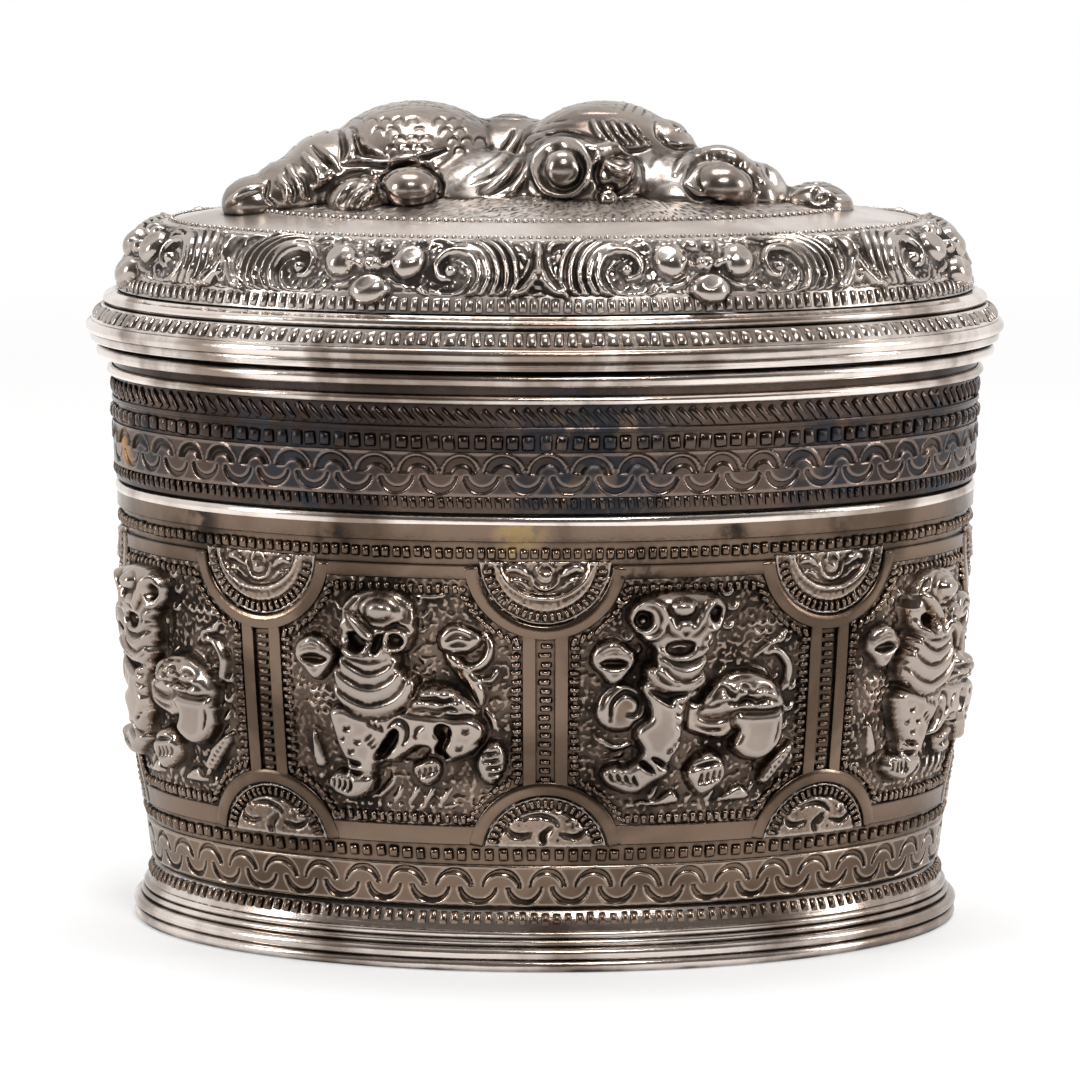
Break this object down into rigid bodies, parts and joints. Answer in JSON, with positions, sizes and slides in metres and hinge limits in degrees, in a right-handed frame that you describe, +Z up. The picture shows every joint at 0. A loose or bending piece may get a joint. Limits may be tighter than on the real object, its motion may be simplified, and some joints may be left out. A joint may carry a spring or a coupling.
{
  "type": "oval silver box",
  "caption": "Oval silver box with a slip lid, chased with lions in panels, scallop and bead bands and a crouching beast on the lid, on a reeded foot.",
  "frame": {"origin": "on the ground under the middle of the foot", "axes": "+X along the oval's long side to the viewer's right, +Y away from the viewer along the short side, +Z up the way the lid lifts"},
  "size_m": [0.09, 0.067, 0.0802],
  "materials": {
    "chased_silver": "chased silver, darkened in its hollows and bright on its high points",
    "bright_silver": "smooth silver, worn bright, with a thin brown tarnish",
    "plain_silver": "plain hammered silver sheet with fine scratches"
  },
  "bodies": {
    "body": {"foot_ring": "chased_silver", "base_plate": "plain_silver", "body_wall": "chased_silver", "body_rim_wire": "bright_silver", "neck_collar": "plain_silver"},
    "lid": {"lid_skirt": "chased_silver", "rim_wire_lower": "bright_silver", "rim_wire_upper": "bright_silver", "rim_lip": "bright_silver", "lid_cover": "chased_silver"}
  },
  "joints": [
    {"name": "lid_lift", "type": "slide", "parent": "body", "child": "lid", "axis": [0, 0, 1], "range_m": [0, 0.03]}
  ]
}
